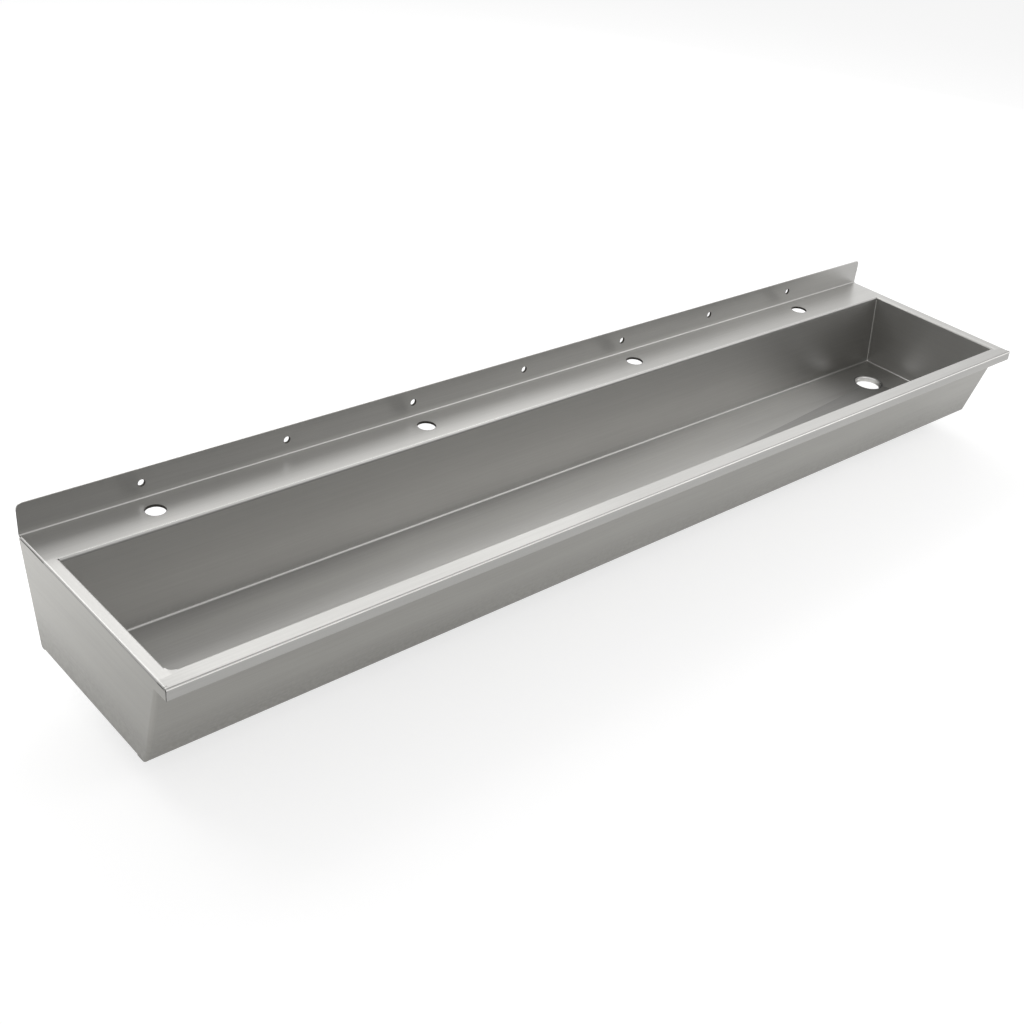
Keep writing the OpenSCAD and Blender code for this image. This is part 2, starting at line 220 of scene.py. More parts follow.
# The trough body is 2 mm stainless sheet with a dull brushed finish, folded from one piece.
# Its grain runs along the trough and spreads reflections across itself. Along each outer fold a
# thin highlight is painted, with a line of painted shade beside it, and the walls of the punched
# holes are painted dark as shade.
STEEL = (0.3965, 0.392, 0.380, 1)
DULLNESS = 0.345
BRUSHED = 0.65
RELIEF_DEPTH = 0.00002
LEAST_GAIN = 0.15
DECK_HEIGHT = -0.032
UPSTAND_TOP = 0.030
OPENING_BACK = -0.105
OPENING_FRONT = -0.465
BOWL_LEFT, BOWL_RIGHT = -1.101, 1.165
BOWL_FLOOR = -0.212
TAP_PITCH, TAP_ROW, TAP_RADIUS = 0.6, -0.052, 0.019
FIXING_PITCH, FIXING_RADIUS = 0.3, 0.007
# The walls of the punched holes are painted nearly black, as shade, and made rougher.
HOLE_WALL_SHADE, HOLE_WALL_REACH, HOLE_WALL_DULLNESS = (0.07, 0.066, 0.06, 1), 0.0006, 0.3


def new_group(name, inputs, outputs):
    """An empty shader node group with those named sockets, its entry node and its exit node."""
    group = bpy.data.node_groups.new(name, "ShaderNodeTree")
    for direction, sockets in (("INPUT", inputs), ("OUTPUT", outputs)):
        for label, kind in sockets.items():
            group.interface.new_socket(label, in_out=direction, socket_type="NodeSocket" + kind)
    entry = wired(group, "NodeGroupInput", (-1400, 0))
    return group, entry, wired(group, "NodeGroupOutput", (1200, 0))


def object_axes(group, at):
    """The X, Y and Z sockets of the object coordinates, which are the frame's own metres."""
    place = wired(group, "ShaderNodeTexCoord", at)
    parts = wired(group, "ShaderNodeSeparateXYZ", (at[0] + 200, at[1]))
    group.links.new(place.outputs["Object"], parts.inputs[0])
    return parts.outputs["X"], parts.outputs["Y"], parts.outputs["Z"]


def brushed_grain():
    """Noise drawn out along the brushing, at three widths of line: hairs, streaks and clouds.
    Turn 0 brushes along X and turn 1 along Y."""
    group, entry, leave = new_group(
        "brushed_grain", {"Turn": "Float", "Tone": "Color", "Dullness": "Float"},
        {"Colour": "Color", "Roughness": "Float", "Height": "Float"})
    x, y, z = object_axes(group, (-1400, -300))
    drawn = wired(group, "ShaderNodeCombineXYZ", (-800, -300))
    for slot, first, second in (("X", x, y), ("Y", y, x)):
        turned = wired(group, "ShaderNodeMix", (-1000, -300), data_type="FLOAT")
        group.links.new(entry.outputs["Turn"], turned.inputs[0])
        group.links.new(first, turned.inputs[2])
        group.links.new(second, turned.inputs[3])
        group.links.new(turned.outputs[0], drawn.inputs[slot])
    group.links.new(z, drawn.inputs["Z"])
    lines = {}
    for label, stretch, fine in (("hair", 9, 1400), ("streak", 4, 260), ("cloud", 2.2, 9)):
        scaled = wired(group, "ShaderNodeMapping", (-600, 0), Scale=(stretch, fine, fine))
        noise = wired(group, "ShaderNodeTexNoise", (-400, 0), Scale=1.0, Detail=3.0, Roughness=0.55)
        group.links.new(drawn.outputs[0], scaled.inputs["Vector"])
        group.links.new(scaled.outputs[0], noise.inputs["Vector"])
        lines[label] = noise.outputs["Fac"]
    both = sum_of(group, "ADD", (-150, -100), lines["hair"], lines["streak"])
    tone = sum_of(group, "MULTIPLY", (250, 0), ramp(group, (50, 0), both, 0.6, 1.4, 0.95, 1.05),
                  ramp(group, (50, -300), lines["cloud"], 0.3, 0.7, 0.97, 1.03))
    tinted = wired(group, "ShaderNodeVectorMath", (450, 0), operation="SCALE")
    group.links.new(entry.outputs["Tone"], tinted.inputs[0])
    group.links.new(tone, tinted.inputs["Scale"])
    group.links.new(tinted.outputs[0], leave.inputs["Colour"])
    group.links.new(sum_of(group, "DIVIDE", (450, -200), entry.outputs["Dullness"], tone),
                    leave.inputs["Roughness"])
    group.links.new(both, leave.inputs["Height"])
    return group


def painted_fold_line():
    """Mask of a line on a fold, where a highlight or a line of shade is painted: 1 on the line at
    Across and Height, 0 at Width from it, and uneven along its way. Turn 0 is a line along X, whose
    Across is a Y, and turn 1 a line along Y, whose Across is an X."""
    group, entry, leave = new_group(
        "painted_fold_line", {"Turn": "Float", "Across": "Float", "Height": "Float", "Width": "Float"},
        {"Mask": "Float"})
    x, y, z = object_axes(group, (-1500, -300))
    places = {}
    for label, first, second in (("along", x, y), ("across", y, x)):
        turned = wired(group, "ShaderNodeMix", (-1100, 0), data_type="FLOAT")
        group.links.new(entry.outputs["Turn"], turned.inputs[0])
        group.links.new(first, turned.inputs[2])
        group.links.new(second, turned.inputs[3])
        places[label] = turned.outputs[0]
    da = sum_of(group, "SUBTRACT", (-900, 0), places["across"], entry.outputs["Across"])
    dz = sum_of(group, "SUBTRACT", (-900, -200), z, entry.outputs["Height"])
    squares = sum_of(group, "ADD", (-500, 0), sum_of(group, "MULTIPLY", (-700, 0), da, da),
                     sum_of(group, "MULTIPLY", (-700, -200), dz, dz))
    away = sum_of(group, "DIVIDE", (-100, 0),
                  sum_of(group, "SQRT", (-300, 0), squares), entry.outputs["Width"])
    near = sum_of(group, "SUBTRACT", (200, 0), 1.0, sum_of(group, "MINIMUM", (50, 0), away, 1.0))
    noise = wired(group, "ShaderNodeTexNoise", (100, -300),
                  noise_dimensions="1D", Scale=30.0, Detail=4.0)
    group.links.new(places["along"], noise.inputs["W"])
    uneven = ramp(group, (300, -300), noise.outputs["Fac"], 0.3, 0.7, 0.75, 1.0)
    group.links.new(sum_of(group, "MULTIPLY", (600, 0), near, uneven), leave.inputs["Mask"])
    return group


def ground_and_painted_band():
    """Mask of an uneven band across an axis, used both where a weld was ground flush and for bands
    of
    painted light and shade: 1 where Value is Centre, and 0 at Width from there."""
    group, entry, leave = new_group(
        "ground_and_painted_band", {"Value": "Float", "Centre": "Float", "Width": "Float"}, {"Mask": "Float"})
    off = sum_of(group, "SUBTRACT", (-900, 0), entry.outputs["Value"], entry.outputs["Centre"])
    away = sum_of(group, "ABSOLUTE", (-700, 0), off)
    part = sum_of(group, "MINIMUM", (-300, 0), 1.0,
                  sum_of(group, "DIVIDE", (-500, 0), away, entry.outputs["Width"]))
    near = sum_of(group, "SUBTRACT", (-100, 0), 1.0, part)
    place = wired(group, "ShaderNodeTexCoord", (-500, -300))
    noise = wired(group, "ShaderNodeTexNoise", (-300, -300), Scale=140.0, Detail=3.0)
    group.links.new(place.outputs["Object"], noise.inputs["Vector"])
    uneven = ramp(group, (-100, -300), noise.outputs["Fac"], 0.3, 0.7, 0.5, 1.0)
    group.links.new(sum_of(group, "MULTIPLY", (200, 0), near, uneven), leave.inputs["Mask"])
    return group


def hole_wall_shade():
    """Mask of the walls of a row of round holes along X, which are painted dark as shade: 1 close
    to Radius from each axis.
    Other is the second coordinate in the holes' plane, measured from their row."""
    group, entry, leave = new_group(
        "hole_wall_shade", {"Other": "Float", "Pitch": "Float", "Shift": "Float", "Radius": "Float"},
        {"Mask": "Float"})
    x = object_axes(group, (-1400, -300))[0]
    half = sum_of(group, "MULTIPLY", (-1100, 0), entry.outputs["Pitch"], 0.5)
    low = sum_of(group, "MULTIPLY", (-1100, -100), entry.outputs["Pitch"], -0.5)
    along = sum_of(group, "WRAP", (-700, 0),
                   sum_of(group, "SUBTRACT", (-900, 0), x, entry.outputs["Shift"]), half, low)
    other = entry.outputs["Other"]
    squares = sum_of(group, "ADD", (-300, 0), sum_of(group, "MULTIPLY", (-500, 0), along, along),
                     sum_of(group, "MULTIPLY", (-500, -200), other, other))
    off = sum_of(group, "ABSOLUTE", (300, 0),
                 sum_of(group, "SUBTRACT", (100, 0), sum_of(group, "SQRT", (-100, 0), squares),
                        entry.outputs["Radius"]))
    close = sum_of(group, "LESS_THAN", (500, 0), off, HOLE_WALL_REACH)
    group.links.new(close, leave.inputs["Mask"])
    return group


def facing(group, at):
    """The Y and Z sockets of the normal that the surface has before its relief."""
    face = wired(group, "ShaderNodeNewGeometry", at)
    parts = wired(group, "ShaderNodeSeparateXYZ", (at[0] + 200, at[1]))
    group.links.new(face.outputs["Normal"], parts.inputs[0])
    return parts.outputs["Y"], parts.outputs["Z"]


def on_floor(group, upward, height):
    """Mask of the bowl's floor: the Z of its normal is over 0.999, as on a nearly level face, and
    it is no more than 1 mm higher than the floor's edges."""
    level = sum_of(group, "GREATER_THAN", (-600, 600), upward, 0.999)
    low_down = sum_of(group, "LESS_THAN", (-600, 800), height, BOWL_FLOOR + 0.001)
    return sum_of(group, "MULTIPLY", (-400, 600), level, low_down)


def painted_floor_shade():
    """Mask of the parts of the bowl floor that are painted darker as shade. On its left half that
    is a strip along the back fold, 1 at the fold and 0 at 55 mm from it. On its right half it is
    the front slope, which leans back by 0.9 degrees, so the Y of its normal is 0.015. One goes over
    into the other between X of 0.10 and of 0.75."""
    group, _, leave = new_group("painted_floor_shade", {}, {"Mask": "Float"})
    back, up = facing(group, (-1100, 0))
    x, y, z = object_axes(group, (-1100, -300))
    both = wired(group, "ShaderNodeMix", (-300, 0), data_type="FLOAT")
    group.links.new(ramp(group, (-600, 200), x, 0.10, 0.75), both.inputs[0])
    group.links.new(ramp(group, (-600, 0), y, -0.180, -0.125), both.inputs[2])
    group.links.new(ramp(group, (-600, -200), back, 0.005, 0.011), both.inputs[3])
    group.links.new(sum_of(group, "MULTIPLY", (0, 0), both.outputs[0], on_floor(group, up, z)),
                    leave.inputs["Mask"])
    return group


def painted_sheet_light():
    """Gain of the painted light and shade on three wide faces of the body: 1 plus a share, which
    fades to nothing between X of 0.6 and of 1.0. The bowl's back wall has painted light, whose
    share grows from nothing at Z of -0.03 to its full size at -0.14, and the upstand has its own
    painted shade above its fold. Both look to the front, so the Y of their normal is under -0.9,
    and nothing in front of Y of -0.13 is one of them. The floor has its own share of painted shade
    as well."""
    group, _, leave = new_group("painted_sheet_light", {}, {"Gain": "Float"})
    back, up = facing(group, (-1100, 0))
    x, y, z = object_axes(group, (-1100, -300))
    front = sum_of(group, "MULTIPLY", (-400, 300),
                   sum_of(group, "LESS_THAN", (-600, 200), back, -0.9),
                   sum_of(group, "GREATER_THAN", (-600, 400), y, -0.13))
    wall = sum_of(group, "MULTIPLY", (-400, 0), ramp(group, (-600, 0), z, -0.03, -0.14), WALL_PAINTED_LIGHT)
    share = sum_of(group, "MULTIPLY_ADD", (-300, 0),
                   ramp(group, (-600, -200), z, -0.028, -0.02), UPSTAND_PAINTED_SHADE, wall)
    total = sum_of(group, "MULTIPLY_ADD", (-100, 200), on_floor(group, up, z), FLOOR_PAINTED_SHADE,
                   sum_of(group, "MULTIPLY", (-200, 0), share, front))
    leftward = ramp(group, (-600, -400), x, 1.0, 0.6)
    gain = sum_of(group, "MULTIPLY_ADD", (0, 0), total, leftward, 1.0)
    group.links.new(gain, leave.inputs["Gain"])
    return group


# How much painted light brightens and painted shade darkens the three wide faces of the body, and
# the strip and the slope of its floor.
WALL_PAINTED_LIGHT, UPSTAND_PAINTED_SHADE, FLOOR_PAINTED_SHADE, FLOOR_PART_SHADE = 0.3, -0.2, -0.12, -0.26
# ground is the band mask for both the ground welds and the bands of painted light and shade; fold
# draws the painted fold lines, and hole the painted shade on the hole walls.
grain, fold, ground, hole = brushed_grain(), painted_fold_line(), ground_and_painted_band(), hole_wall_shade()
floor_shade_group, sheet_light_group = painted_floor_shade(), painted_sheet_light()


def brushed_steel(name, tone, turn, dullness, lines=(), bands=(), holes=(),
                  shaded=False, bump=0.25):
    """A brushed metal with its grain along X (turn 0), along Y (1) or round upright corners (None).
    Each line, a painted highlight or a line of painted shade, has its way (X or Y), its place
    across that way, its height, its half width and its share; each band, a ground weld or a band of
    painted light or shade, its axis, centre, half width and share; and each row of holes, whose
    walls are painted dark as shade, the second axis of its plane, its place there, pitch, shift and
    radius. A share is how much brighter it is. shaded adds the painted light and shade of the
    body's own floor, back wall and upstand."""
    material = bpy.data.materials.new(name)
    material.use_nodes = True
    tree = material.node_tree
    shader = tree.nodes["Principled BSDF"]
    shader.inputs["Metallic"].default_value = 1.0
    shader.inputs["Anisotropic"].default_value = BRUSHED
    axes = dict(zip("XYZ", object_axes(tree, (-1700, -600))))
    brushed = wired(tree, "ShaderNodeGroup", (-1100, 0),
                    node_tree=grain, Tone=tone, Dullness=dullness)
    face = wired(tree, "ShaderNodeNewGeometry", (-1900, 0))
    grain_way = wired(tree, "ShaderNodeCombineXYZ", (-1100, -800))
    if turn is None:
        parts = wired(tree, "ShaderNodeSeparateXYZ", (-1700, 0))
        tree.links.new(face.outputs["Normal"], parts.inputs[0])
        turned = sum_of(tree, "ABSOLUTE", (-1500, 0), parts.outputs["X"])
        tree.links.new(turned, brushed.inputs["Turn"])
        tree.links.new(turned, grain_way.inputs["Y"])
        tree.links.new(sum_of(tree, "SUBTRACT", (-1300, -800), 1.0, turned), grain_way.inputs["X"])
    else:
        brushed.inputs["Turn"].default_value = turn
        grain_way.inputs["X"].default_value, grain_way.inputs["Y"].default_value = 1 - turn, turn
    across = wired(tree, "ShaderNodeVectorMath", (-900, -800), operation="CROSS_PRODUCT")
    tree.links.new(face.outputs["Normal"], across.inputs[0])
    tree.links.new(grain_way.outputs[0], across.inputs[1])
    tree.links.new(across.outputs[0], shader.inputs["Tangent"])
    colour, rough = brushed.outputs["Colour"], brushed.outputs["Roughness"]
    gain = 1.0
    for along, at, height, width, share in lines:
        line = wired(tree, "ShaderNodeGroup", (-1100, -300), node_tree=fold,
                     Turn="XY".index(along), Across=at, Height=height, Width=width)
        gain = sum_of(tree, "MULTIPLY_ADD", (-900, -300), line.outputs["Mask"], share, gain)
    for axis, centre, width, share in bands:
        band = wired(tree, "ShaderNodeGroup", (-1100, -500),
                     node_tree=ground, Centre=centre, Width=width)
        tree.links.new(axes[axis], band.inputs["Value"])
        gain = sum_of(tree, "MULTIPLY_ADD", (-900, -500), band.outputs["Mask"], share, gain)
    if shaded:
        floor_shade_node = wired(tree, "ShaderNodeGroup", (-1100, -700), node_tree=floor_shade_group)
        gain = sum_of(tree, "MULTIPLY_ADD", (-900, -700),
                      floor_shade_node.outputs["Mask"], FLOOR_PART_SHADE, gain)
    if lines or bands or shaded:
        gain = sum_of(tree, "MAXIMUM", (-800, -300), gain, LEAST_GAIN)
        rough = sum_of(tree, "DIVIDE", (-500, -200), rough, gain)
        if shaded:
            wide = wired(tree, "ShaderNodeGroup", (-900, -900), node_tree=sheet_light_group)
            gain = sum_of(tree, "MULTIPLY", (-700, 0), gain, wide.outputs["Gain"])
        scaled = wired(tree, "ShaderNodeVectorMath", (-500, 0), operation="SCALE")
        tree.links.new(colour, scaled.inputs[0])
        tree.links.new(gain, scaled.inputs["Scale"])
        colour = scaled.outputs[0]
    for other, offset, pitch, shift, radius in holes:
        wall = wired(tree, "ShaderNodeGroup", (-700, -600), node_tree=hole,
                     Pitch=pitch, Shift=shift, Radius=radius)
        beside = sum_of(tree, "SUBTRACT", (-900, -600), axes[other], offset)
        tree.links.new(beside, wall.inputs["Other"])
        mixed = wired(tree, "ShaderNodeMix", (-300, 0), data_type="RGBA")
        tree.links.new(wall.outputs["Mask"], mixed.inputs[0])
        tree.links.new(colour, mixed.inputs[6])
        mixed.inputs[7].default_value = HOLE_WALL_SHADE
        colour = mixed.outputs[2]
        rough = sum_of(tree, "MULTIPLY_ADD", (-300, -300),
                       wall.outputs["Mask"], HOLE_WALL_DULLNESS, rough)
    relief = wired(tree, "ShaderNodeBump", (-250, -600), Strength=bump, Distance=RELIEF_DEPTH)
    tree.links.new(brushed.outputs["Height"], relief.inputs["Height"])
    tree.links.new(relief.outputs["Normal"], shader.inputs["Normal"])
    tree.links.new(colour, shader.inputs["Base Color"])
    tree.links.new(rough, shader.inputs["Roughness"])
    return material


def finish_node(name, material):
    """Gives a CAD node one material in place of the one it came with."""
    mesh = nodes[name].data
    mesh.materials.clear()
    mesh.materials.append(material)


TAP_HOLE_SHADE = ("Y", TAP_ROW, TAP_PITCH, TAP_PITCH / 2, TAP_RADIUS)
FIXING_HOLE_SHADE = ("Z", 0.0, FIXING_PITCH, 0.0, FIXING_RADIUS)
# Lines on the folds: a positive share paints a highlight along the fold, and a negative one paints
# a line of shade beside it.
UPSTAND_EDGE_HIGHLIGHT = [("X", -0.004, UPSTAND_TOP, 0.003, 0.3)]
LEDGE_FOLD_LIGHT_AND_SHADE = [("X", -0.1014, -0.0321, 0.0016, 0.35), ("X", -0.1064, -0.0372, 0.0026, -0.5)]
NOSING_FOLD_LIGHT_AND_SHADE = [("X", -0.4982, -0.0324, 0.0016, -0.4), ("X", -0.4997, -0.0343, 0.0018, 1.2)]
END_FOLD_LIGHT_AND_SHADE = [("Y", -1.1240, -0.0323, 0.0018, 0.25), ("Y", -1.1250, -0.0365, 0.0030, -0.4),
             ("Y", 1.1940, -0.0323, 0.0018, 0.25), ("Y", 1.1950, -0.0365, 0.0030, -0.4)]
# A band of painted shade darkens the body about the fold from its walls into the floor.
OVER_FLOOR_FOLD_SHADE = ("Z", -0.203, 0.010, -0.12)
finish_node("trough_body", brushed_steel(
    "body_steel", STEEL, 0, DULLNESS, lines=UPSTAND_EDGE_HIGHLIGHT + LEDGE_FOLD_LIGHT_AND_SHADE + NOSING_FOLD_LIGHT_AND_SHADE + END_FOLD_LIGHT_AND_SHADE,
    bands=[OVER_FLOOR_FOLD_SHADE], holes=[TAP_HOLE_SHADE, FIXING_HOLE_SHADE], shaded=True))

# The two inner end walls are folded from the same sheet, brushed from back to front.
# Each is welded into the bowl and the deck, and its rim is ground flush where it joins the deck.
END_STEEL = (0.377, 0.3725, 0.361, 1)
DECK_SEAMS = [("Y", -0.097, 0.008, 0.06), ("Y", -0.473, 0.008, 0.06)]
FLOOR_SEAM = ("Z", BOWL_FLOOR, 0.010, 0.12)
# A band of painted highlight brightens the inner fold of the right end's rim.
RIGHT_RIM_INNER_HIGHLIGHT = ("X", 1.1710, 0.008, 0.15)
for end in ("left_bowl_end", "right_bowl_end"):
    finish_node(end, brushed_steel(
        end + "_steel", END_STEEL, 1, DULLNESS, lines=END_FOLD_LIGHT_AND_SHADE,
        bands=DECK_SEAMS + [FLOOR_SEAM, RIGHT_RIM_INNER_HIGHLIGHT]))

# The skirt is thinner sheet, folded round both upright corners and under along its foot, and its
# colour is painted darker than the body's steel as shade.
# Its grain runs along the front and on round the corners to the wall, and it is painted darker
# toward its foot and along its foot folds, as shade.
SKIRT_SHADED_STEEL = (0.3128, 0.307, 0.289, 1)
FOOT_FOLD_SHADE = [("X", -0.4184, -0.2390, 0.0035, -0.25), ("Y", -1.1250, -0.2390, 0.0035, -0.25)]
SKIRT_FOOT_SHADE = ("Z", -0.235, 0.090, -0.24)
finish_node("skirt", brushed_steel(
    "skirt_steel", SKIRT_SHADED_STEEL, None, DULLNESS, lines=FOOT_FOLD_SHADE, bands=[SKIRT_FOOT_SHADE]))

# The ledge channel and the fixing bar are 3 mm strip with a duller mill finish.
# They are welded behind the sheet, and the same holes are punched through both.
MILL_STEEL, MILL_DULLNESS = (0.40, 0.395, 0.388, 1), 0.48
# The walls of their holes are painted dark as shade, as on the body.
finish_node("ledge_channel", brushed_steel(
    "channel_steel", MILL_STEEL, 0, MILL_DULLNESS, holes=[TAP_HOLE_SHADE]))
finish_node("fixing_bar", brushed_steel(
    "bar_steel", MILL_STEEL, 0, MILL_DULLNESS, holes=[FIXING_HOLE_SHADE]))

# The three braces are channels folded from 2 mm mill sheet, brushed along their own length.
# Each stands between the floor of the bowl and the return of the skirt, and ties the two together.
BRACE_DULLNESS = 0.45
for brace in ("brace_left", "brace_middle", "brace_right"):
    finish_node(brace, brushed_steel(brace + "_steel", MILL_STEEL, 1, BRACE_DULLNESS))

# The waste outlet is pressed from sheet and welded in, its dish and throat with a finer relief, and
# its colour is painted far brighter than the body's steel as a highlight.
# It is painted darker along its top edge, and toward its front and its left, as shade.
WASTE_PLACE = (1.060, -0.206)
FLOOR_FALL = 0.003
OUTLET_TOP = BOWL_FLOOR - FLOOR_FALL
OUTLET_HIGHLIGHT_STEEL, OUTLET_DULLNESS = (0.74, 0.73, 0.71, 1), 0.36
OUTLET_SHADE_BANDS = [("Z", OUTLET_TOP, 0.0016, -0.25), ("Y", -0.243, 0.040, -1.3),
                ("X", 1.020, 0.040, -1.2)]
POLISHED_BUMP = 0.1
finish_node("waste_outlet", brushed_steel(
    "outlet_steel", OUTLET_HIGHLIGHT_STEEL, 1, OUTLET_DULLNESS, bands=OUTLET_SHADE_BANDS, bump=POLISHED_BUMP))

# Weld seams close the bowl: a fillet runs down, across and up where each end wall meets the body.
# They are laid as a row of small pools, then brushed off, so only a fine ripple is left.
SEAM_LEG, SEAM_POOL, SEAM_STEP = 0.0015, 0.0034, 0.0012
BOWL_FOOT_BACK, BOWL_FOOT_FRONT = -0.121, -0.413
SEAM_TOP = 0.007
SEAM_TOP_BACK, SEAM_TOP_FRONT = OPENING_BACK - 0.00062, OPENING_FRONT + 0.00202
INNER_FOLD = 0.004
WELD_STEEL, WELD_DULLNESS = (0.46, 0.455, 0.44, 1), 0.3


def closed_surface(name, tubes, material, looped=False):
    """One mesh of closed tubes, each an array of rings of points, (ring, point, 3).
    Neighbouring rings are joined by pairs of triangles. A looped tube also joins its last ring to
    its first, and any other is closed by a fan at each end. The faces are turned outward where
    the sum of the corners' triple products says that they face in."""
    points, faces, base = [], [], 0
    for rings in tubes:
        count, around = rings.shape[:2]
        spans = count if looped else count - 1
        i, j = np.meshgrid(np.arange(spans), np.arange(around), indexing="ij")
        a, b = i * around + j, i * around + (j + 1) % around
        c, d = (i + 1) % count * around + (j + 1) % around, (i + 1) % count * around + j
        skin = np.concatenate([np.stack([a, b, c], -1).reshape(-1, 3),
                               np.stack([a, c, d], -1).reshape(-1, 3)])
        spots = rings.reshape(-1, 3)
        if not looped:
            k = np.arange(around)
            first = np.stack([np.full(around, count * around), (k + 1) % around, k], -1)
            last = np.stack([np.full(around, count * around + 1), (count - 1) * around + k,
                             (count - 1) * around + (k + 1) % around], -1)
            skin = np.concatenate([skin, first, last])
            spots = np.concatenate([spots, rings[[0, -1]].mean(axis=1)])
        corner = (spots - spots.mean(0))[skin]
        if np.einsum("ij,ij->", corner[:, 0], np.cross(corner[:, 1], corner[:, 2])) < 0:
            skin = skin[:, ::-1]
        points.append(spots)
        faces.append(skin + base)
        base += len(spots)
    mesh = bpy.data.meshes.new(name)
    mesh.from_pydata(np.concatenate(points).tolist(), [], np.concatenate(faces).tolist())
    mesh.materials.append(material)
    mesh.polygons.foreach_set("use_smooth", np.ones(len(mesh.polygons), bool))
    mesh.update()
    piece = bpy.data.objects.new(name, mesh)
    bpy.context.scene.collection.objects.link(piece)
    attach(piece, "root")
    return piece


def rounded_path(corners, radius, step):
    """Points and unit directions along a flat path whose inner corners are arcs of that radius.
    On an arc the direction turns evenly, and the point is the centre less the radius times the
    unit vector that points at the centre, square to the direction."""
    points, ways = [], []
    start = corners[0]
    for k in range(1, len(corners)):
        way = (corners[k] - corners[k - 1]) / np.linalg.norm(corners[k] - corners[k - 1])
        stop, turn = corners[k], 0.0
        if k < len(corners) - 1:
            onward = (corners[k + 1] - corners[k]) / np.linalg.norm(corners[k + 1] - corners[k])
            turn = math.atan2(way[0] * onward[1] - way[1] * onward[0], way @ onward)
            stop = corners[k] - way * radius * math.tan(abs(turn) / 2)
        count = max(2, int(np.linalg.norm(stop - start) / step))
        points.append(start + (stop - start) * (np.arange(count) / count)[:, None])
        ways.append(np.repeat(way[None], count, 0))
        if turn:
            side_of_turn = math.copysign(1, turn)
            left = np.array([-way[1], way[0]])
            centre = stop + left * side_of_turn * radius
            angles = np.linspace(0, turn, 9)[:-1, None]
            turned = np.cos(angles) * way + np.sin(angles) * left
            to_centre = np.stack([-turned[:, 1], turned[:, 0]], -1) * side_of_turn
            points.append(centre - to_centre * radius)
            ways.append(turned)
            start = centre - np.array([-onward[1], onward[0]]) * side_of_turn * radius
    points.append(corners[-1][None])
    ways.append(way[None])
    return np.concatenate(points), np.concatenate(ways)


def fillet(spine, first, second, leg, pool):
    """Rings of a fillet weld in the corner of two sheets, along a line of spine points.
    first and second point out of the corner along each sheet. The face between them is a
    quadratic curve that bulges, its leg swells by a few percent once per pool and dies away at
    both ends, and three more points lie inside the sheets."""
    run = np.concatenate([[0], np.cumsum(np.linalg.norm(np.diff(spine, axis=0), axis=1))])
    swell = 1 + 0.07 * np.abs(np.sin(math.pi * run / pool))
    swell -= 0.9 * np.exp(-np.minimum(run, run[-1] - run) / (0.6 * leg))
    a = np.broadcast_to(first, spine.shape)[:, None]
    b = np.broadcast_to(second, spine.shape)[:, None]
    t = np.linspace(0, 1, 7)[None, :, None]
    face = (1 - t) ** 2 * a + 1.24 * t * (1 - t) * (a + b) + t ** 2 * b
    sunk = np.concatenate([b - 0.25 * a, -0.25 * (a + b), a - 0.25 * b], 1)
    return spine[:, None] + leg * swell[:, None, None] * np.concatenate([face, sunk], 1)


weld_steel = brushed_steel("weld_steel", WELD_STEEL, 0, WELD_DULLNESS, bump=POLISHED_BUMP)
corners = np.array([(SEAM_TOP_BACK, DECK_HEIGHT - SEAM_TOP), (BOWL_FOOT_BACK, BOWL_FLOOR),
                    (BOWL_FOOT_FRONT, BOWL_FLOOR), (SEAM_TOP_FRONT, DECK_HEIGHT - SEAM_TOP)])
path, ways = rounded_path(corners, INNER_FOLD, SEAM_STEP)
off_body = np.column_stack([np.zeros(len(path)), ways[:, 1], -ways[:, 0]])
for name, wall, inward in (("weld_left_end", BOWL_LEFT, 1), ("weld_right_end", BOWL_RIGHT, -1)):
    spine = np.column_stack([np.full(len(path), wall), path])
    seam = fillet(spine, (inward, 0, 0), off_body, SEAM_LEG, SEAM_POOL)
    closed_surface(name, [seam], weld_steel)

# At both ends of the nosing small welds close the relief slot in the deck, the corner under it and
# the upright joint with the tab of the skirt. All three are ground nearly flush.
END_FACES = (-1.125, 1.195)
# Each bead has the X from the end face inward, the Y and the Z of its start and of its stop, and
# its radius.
CORNER_BEADS = (((0.0015, -0.4930, -0.0332), (0.0070, -0.4930, -0.0332), 0.0012),
                ((0.0016, -0.4965, -0.0356), (0.0016, -0.4905, -0.0356), 0.0015),
                ((0.0008, -0.4980, -0.0385), (0.0008, -0.4980, -0.0555), 0.0008))


def bead(start, stop, radius):
    """Rings of a straight round bead from start to stop: a circle in the plane across its way,
    whose radius is the full one times the root of 1 - s^8, with s from -1 to 1 along it."""
    start, stop = np.array(start), np.array(stop)
    way = (stop - start) / np.linalg.norm(stop - start)
    first = np.cross(way, np.roll(np.abs(way), 1))
    first /= np.linalg.norm(first)
    turn = np.linspace(0, 2 * math.pi, 16, endpoint=False)[:, None]
    circle = np.cos(turn) * first + np.sin(turn) * np.cross(way, first)
    s = np.linspace(-0.97, 0.97, 15)[:, None, None]
    return (start + stop) / 2 + s * (stop - start) / 2 + radius * np.sqrt(1 - s ** 8) * circle[None]


for name, face, inward in (("weld_left_corner", END_FACES[0], 1),
                           ("weld_right_corner", END_FACES[1], -1)):
    beads = [bead(*((face + inward * x, y, z) for x, y, z in (start, stop)), radius)
             for start, stop, radius in CORNER_BEADS]
    closed_surface(name, beads, weld_steel)

# A ring weld joins the pressed outlet to the edge of the hole in the floor.
# It follows the four slopes of the floor on its outer side and the flat outlet on its inner side.
FLOOR_SPAN = ((-1.089, 1.153), (-0.401, -0.133))
RING_STEEL, RING_DULLNESS = (0.21, 0.207, 0.20, 1), 0.45
RING_RADIUS = 0.038
RING_RIPPLE, RING_POOLS = 0.00004, 35
# Its section is nine points, each so far out from the edge of the hole, and raised from the
# floor's height, from the outlet's or from the mean of the two.
RING_OUT = np.array([0.0014, 0.0012, 0.0003, -0.0007, -0.0017, -0.0022, -0.0022, -0.0003, 0.0012])


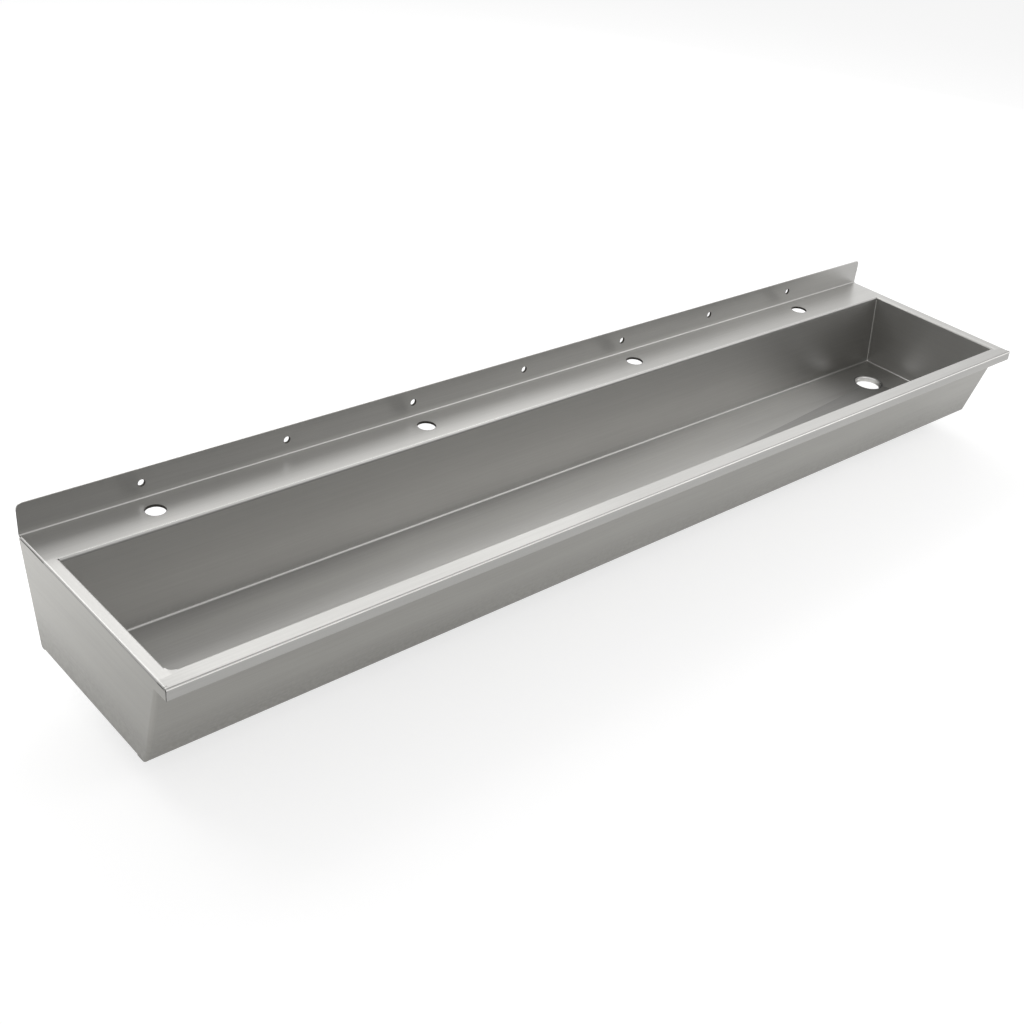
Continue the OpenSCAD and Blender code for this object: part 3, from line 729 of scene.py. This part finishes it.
def floor_height_at(x, y):
    """Height of the floor: it falls evenly from each side to the waste, by the least of the four
    shares of the way from a side to the waste."""
    shares = [(x - FLOOR_SPAN[0][0]) / (WASTE_PLACE[0] - FLOOR_SPAN[0][0]),
              (FLOOR_SPAN[0][1] - x) / (FLOOR_SPAN[0][1] - WASTE_PLACE[0]),
              (y - FLOOR_SPAN[1][0]) / (WASTE_PLACE[1] - FLOOR_SPAN[1][0]),
              (FLOOR_SPAN[1][1] - y) / (FLOOR_SPAN[1][1] - WASTE_PLACE[1])]
    return BOWL_FLOOR - FLOOR_FALL * np.minimum.reduce(shares)


angle = np.linspace(0, 2 * math.pi, 180, endpoint=False)
edge = floor_height_at(WASTE_PLACE[0] + RING_RADIUS * np.cos(angle),
                       WASTE_PLACE[1] + RING_RADIUS * np.sin(angle))
inner = np.full_like(edge, OUTLET_TOP)
ripple = RING_RIPPLE * np.abs(np.sin(RING_POOLS * angle))
middle = (edge + inner) / 2
rise = np.stack([edge - 0.0004, edge + 0.0001, edge + 0.0002 + ripple, middle + 0.0004 + ripple,
                 inner + 0.0002 + ripple, inner + 0.00005, inner - 0.0005, inner - 0.0008,
                 edge - 0.0008], 1)
ring = np.stack([WASTE_PLACE[0] + (RING_RADIUS + RING_OUT) * np.cos(angle)[:, None],
                 WASTE_PLACE[1] + (RING_RADIUS + RING_OUT) * np.sin(angle)[:, None], rise], -1)
ring_steel = brushed_steel("ring_steel", RING_STEEL, 0, RING_DULLNESS, bump=POLISHED_BUMP)
closed_surface("weld_waste", [ring], ring_steel, looped=True)

# Short stitches hold the fixing bar behind the upstand, above and below, midway between bolts.
# Others hold the three braces up against the lowest crease of the floor.
STITCH, STITCH_POOL, STITCH_RINGS = 0.024, 0.003, 21
BAR_BACK, BAR_HALF, BAR_LEG = -0.003, 0.020, 0.0018
steps = np.linspace(-STITCH / 2, STITCH / 2, STITCH_RINGS)
level_run = np.ones(STITCH_RINGS)
stitches = []
for middle in np.arange(-2.5, 3) * FIXING_PITCH:
    for up in (1, -1):
        spine = np.column_stack([middle + steps, BAR_BACK * level_run, up * BAR_HALF * level_run])
        stitches.append(fillet(spine, (0, 1, 0), (0, 0, up), BAR_LEG, STITCH_POOL))
closed_surface("weld_fixing_bar", stitches, weld_steel)

BODY_SHEET = 0.002
BRACE_PLACES, BRACE_HALF, BRACE_GAP, BRACE_LEG = (-0.7074, 0.035, 0.7774), 0.015, 0.0001, 0.0016
stitches = []
for place in BRACE_PLACES:
    under = floor_height_at(place + BRACE_HALF, WASTE_PLACE[1]) - BODY_SHEET - BRACE_GAP
    for hand in (1, -1):
        spine = np.column_stack([(place + hand * BRACE_HALF) * level_run, WASTE_PLACE[1] + steps,
                                 under * level_run])
        stitches.append(fillet(spine, (hand, 0, 0), (0, 0, -1), BRACE_LEG, STITCH_POOL))
closed_surface("weld_braces", stitches, weld_steel)
